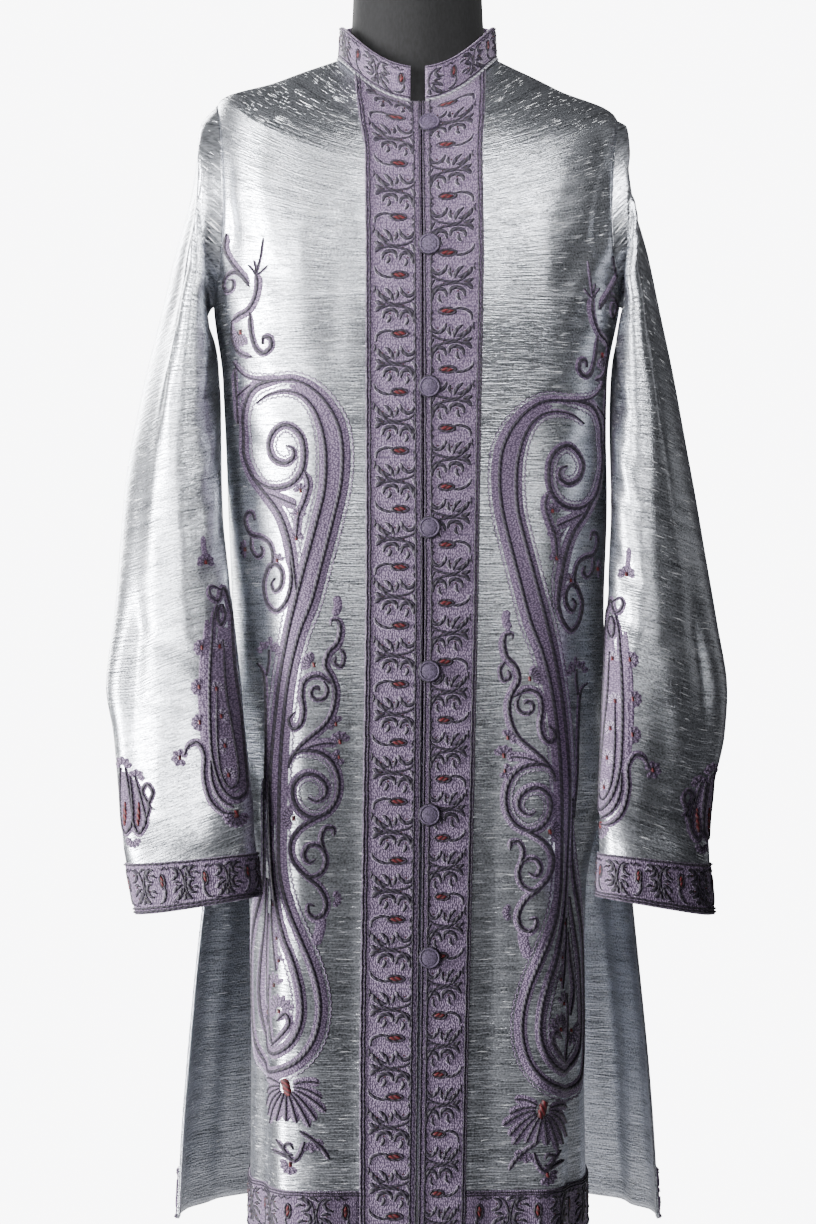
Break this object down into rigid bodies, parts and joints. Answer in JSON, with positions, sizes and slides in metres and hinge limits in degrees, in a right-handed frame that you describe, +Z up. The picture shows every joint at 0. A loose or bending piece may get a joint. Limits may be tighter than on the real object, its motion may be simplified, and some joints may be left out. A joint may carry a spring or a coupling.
{
  "type": "embroidered long coat on a dress form",
  "caption": "Long raw-silk coat with a band collar, embroidered front bands, cuffs and hem, covered buttons and side slits, worn by a limbless dress form on a round stand.",
  "frame": {"origin": "on the floor, under the middle of the stand's round base", "axes": "+Z up along the stand's pole, -Y out of the coat's front, +X to the right of someone who faces the coat's front"},
  "size_m": [0.5457, 0.36, 1.495],
  "materials": {
    "silk": "raw silk with slubs, two-tone sheen",
    "embroidery": "dense lilac chain stitch with dark violet cord",
    "covered_button": "wound thread",
    "jersey": "black cotton jersey stretched smooth",
    "lacquer": "black satin lacquer",
    "steel": "brushed tube"
  },
  "bodies": {
    "root": {"front_right": "silk", "front_left": "silk", "back": "silk", "sleeve_right": "silk", "sleeve_left": "silk", "collar": "embroidery", "front_band_right": "embroidery", "front_band_left": "embroidery", "cuff_band_right": "embroidery", "cuff_band_left": "embroidery", "hem_band_front_right": "embroidery", "hem_band_front_left": "embroidery", "hem_band_back": "embroidery", "button_1": "covered_button", "button_2": "covered_button", "button_3": "covered_button", "button_4": "covered_button", "button_5": "covered_button", "button_6": "covered_button", "button_7": "covered_button", "form_torso": "jersey", "form_neck_cap": "lacquer", "stand_pole": "steel", "stand_base": "lacquer"}
  },
  "joints": []
}
